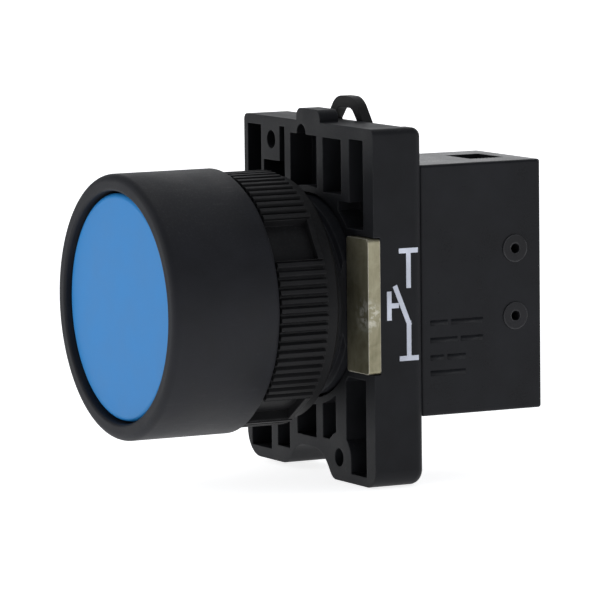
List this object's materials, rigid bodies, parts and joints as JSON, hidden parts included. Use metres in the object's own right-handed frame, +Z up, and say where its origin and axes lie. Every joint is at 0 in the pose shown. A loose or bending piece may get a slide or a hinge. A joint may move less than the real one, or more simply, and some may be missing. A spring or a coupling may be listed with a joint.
{
  "type": "push button switch",
  "caption": "Panel-mounted industrial push button: round flush button in a cylindrical bezel, ribbed ring nut, rectangular mounting base with a locking lever and a rear contact block.",
  "frame": {"origin": "on the button axis, in the plane of the bezel's rear face, which is the face that seats on the front of the control panel", "axes": "+Y along the button axis from the button towards the wiring, +Z up as mounted on a vertical panel, +X across, towards the side the contact block is on"},
  "size_m": [0.0301, 0.0451, 0.0416],
  "materials": {
    "bezel": "satin moulded black nylon",
    "cap": "smooth blue, slightly satin",
    "pusher": "natural white nylon",
    "screws": "bright zinc plated steel",
    "spring": "drawn spring steel wire",
    "seal": "matt black rubber",
    "nut": "matt moulded black, ribbed",
    "washer": "matt black",
    "base": "satin moulded black",
    "plate": "yellow zinc passivated steel",
    "lever": "satin moulded black",
    "mark": "white pad print",
    "block": "satin moulded black",
    "pins": "satin moulded black",
    "plunger": "green moulded plastic",
    "bridge": "bright brass",
    "silver": "fine silver",
    "strip": "bright brass",
    "saddle": "zinc plated steel"
  },
  "bodies": {
    "frame": {"bezel_body": "bezel", "wiper_seal": "seal", "panel_gasket": "seal", "mounting_base": "base", "side_plates": "plate", "side_mark": "mark", "block_housing": "block", "block_cover": "block", "hollow_pins": "pins", "fixed_tips": "silver", "upper_strip": "strip", "lower_strip": "strip", "return_spring": "spring", "plunger_spring": "spring"},
    "button": {"button_cap": "cap", "pusher": "pusher", "pusher_foot": "pusher", "foot_screw": "screws"},
    "plunger": {"block_plunger": "plunger"},
    "bridge": {"contact_bridge": "bridge", "bridge_tips": "silver", "contact_spring": "spring"},
    "washer": {"tab_washer": "washer"},
    "nut": {"ring_nut": "nut"},
    "lever": {"locking_lever": "lever"},
    "upper_clamp": {"upper_saddle": "saddle"},
    "upper_clamp_screw": {"upper_screw": "screws"},
    "lower_clamp": {"lower_saddle": "saddle"},
    "lower_clamp_screw": {"lower_screw": "screws"}
  },
  "joints": [
    {"name": "button_push", "type": "slide", "parent": "frame", "child": "button", "axis": [0, 1, 0], "range_m": [0, 0.0036], "stiffness_N_per_m": 900, "springref_m": -0.0025, "deforming": ["return_spring"]},
    {"name": "plunger_slide", "type": "slide", "parent": "frame", "child": "plunger", "axis": [0, 1, 0], "range_m": [0, 0.0036], "deforming": ["plunger_spring", "contact_spring"]},
    {"name": "bridge_slide", "type": "slide", "parent": "frame", "child": "bridge", "axis": [0, 1, 0], "range_m": [0, 0.00148]},
    {"name": "washer_slide", "type": "slide", "parent": "frame", "child": "washer", "axis": [0, 1, 0], "range_m": [0, 0.00211]},
    {"name": "nut_turn", "type": "hinge", "parent": "washer", "child": "nut", "pos_m": [0, 0.004, 0], "axis": [0, 1, 0], "range_deg": [0, 504]},
    {"name": "lever_turn", "type": "hinge", "parent": "frame", "child": "lever", "pos_m": [0, 0.0162, 0], "axis": [0, 1, 0], "range_deg": [0, 18]},
    {"name": "upper_saddle_slide", "type": "slide", "parent": "frame", "child": "upper_clamp", "axis": [0, -1, 0], "range_m": [0, 0.00175]},
    {"name": "upper_screw_turn", "type": "hinge", "parent": "upper_clamp", "child": "upper_clamp_screw", "pos_m": [0.0073, 0.0292, 0.01115], "axis": [0, -1, 0], "range_deg": [0, 1051]},
    {"name": "lower_saddle_slide", "type": "slide", "parent": "frame", "child": "lower_clamp", "axis": [0, -1, 0], "range_m": [0, 0.00175]},
    {"name": "lower_screw_turn", "type": "hinge", "parent": "lower_clamp", "child": "lower_clamp_screw", "pos_m": [0.0073, 0.0292, -0.00865], "axis": [0, -1, 0], "range_deg": [0, 1051]}
  ],
  "couplings": [
    {"joint": "plunger_slide", "follows": "button_push", "ratio": 1},
    {"joint": "bridge_slide", "follows": "button_push", "ratio": 0.41},
    {"joint": "washer_slide", "follows": "nut_turn", "m_per_rad": 0.00023873},
    {"joint": "upper_screw_turn", "follows": "upper_saddle_slide", "rad_per_m": 10472},
    {"joint": "lower_screw_turn", "follows": "lower_saddle_slide", "rad_per_m": 10472}
  ]
}
